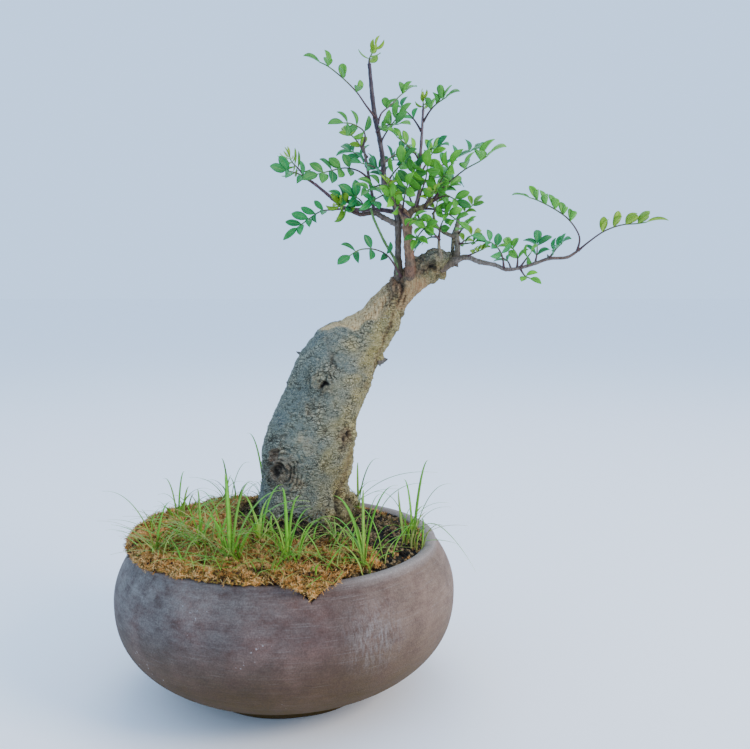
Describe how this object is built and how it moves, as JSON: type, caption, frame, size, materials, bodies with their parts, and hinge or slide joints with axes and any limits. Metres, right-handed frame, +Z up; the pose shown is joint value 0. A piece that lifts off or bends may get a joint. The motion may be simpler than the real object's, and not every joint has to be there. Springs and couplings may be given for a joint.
{
  "type": "hubei ash bonsai",
  "caption": "Leaning old ash trunk with small pinnate leaves on thin shoots, rooted in soil, moss and grass in a round clay bowl.",
  "frame": {"origin": "centre of the bowl's flat foot, on the surface that it stands on", "axes": "+Z up along the bowl's axis, -Y towards the viewer of the picture, +X along the tree's long branch"},
  "size_m": [0.3625, 0.23, 0.4328],
  "materials": {
    "fired_clay": "matte unglazed clay with lime bloom",
    "soil": "damp dark soil",
    "moss": "dry golden moss",
    "bark": "grey-brown bark",
    "leaf_green": "satin leaf",
    "leaf_blue_green": "satin leaf",
    "leaf_young": "young satin leaf",
    "grass": "fresh grass blade"
  },
  "bodies": {
    "root": {"pot": "fired_clay", "soil": "soil", "moss": "moss", "wood": "bark", "leaf_top_left": "leaf_green", "leaf_top_right": "leaf_green", "tuft_leader": "leaf_young", "leaf_second_right": "leaf_green", "leaf_second_left": "leaf_blue_green", "tuft_second": "leaf_young", "leaf_slim_left": "leaf_green", "leaf_leader_right": "leaf_green", "leaf_between": "leaf_green", "leaf_inner_low": "leaf_blue_green", "leaf_slim_mid": "leaf_blue_green", "leaf_left_high": "leaf_green", "leaf_left_end": "leaf_blue_green", "tuft_left": "leaf_young", "tuft_limb": "leaf_young", "leaf_limb_up": "leaf_blue_green", "leaf_left_low": "leaf_blue_green", "leaf_low_left": "leaf_blue_green", "leaf_right_big": "leaf_green", "leaf_right_back": "leaf_blue_green", "leaf_heart_front": "leaf_green", "leaf_heart_side": "leaf_green", "leaf_heart_left": "leaf_green", "leaf_heart_up": "leaf_green", "leaf_heart_back": "leaf_blue_green", "leaf_heart_low": "leaf_green", "leaf_limb_end": "leaf_green", "leaf_limb_low": "leaf_green", "leaf_arm_tip": "leaf_young", "leaf_arm_right": "leaf_green", "leaf_arm_low": "leaf_young", "leaf_fork_low": "leaf_green", "leaf_fern": "leaf_young", "leaf_side_up": "leaf_young", "leaf_side_left": "leaf_green", "leaf_stub": "leaf_blue_green", "leaf_arch": "leaf_green", "leaf_end": "leaf_young", "leaf_branch_a": "leaf_blue_green", "leaf_branch_b": "leaf_green", "leaf_branch_c": "leaf_green", "leaf_branch_d": "leaf_blue_green", "leaf_branch_e": "leaf_blue_green", "leaf_branch_f": "leaf_blue_green", "leaf_branch_low": "leaf_green", "grass_front_left": "grass", "grass_left_middle": "grass", "grass_left_rim": "grass", "grass_left_back": "grass", "grass_back_left": "grass", "grass_behind": "grass", "grass_middle": "grass", "grass_front": "grass", "grass_front_right": "grass", "grass_right": "grass", "grass_right_back": "grass"}
  },
  "joints": []
}
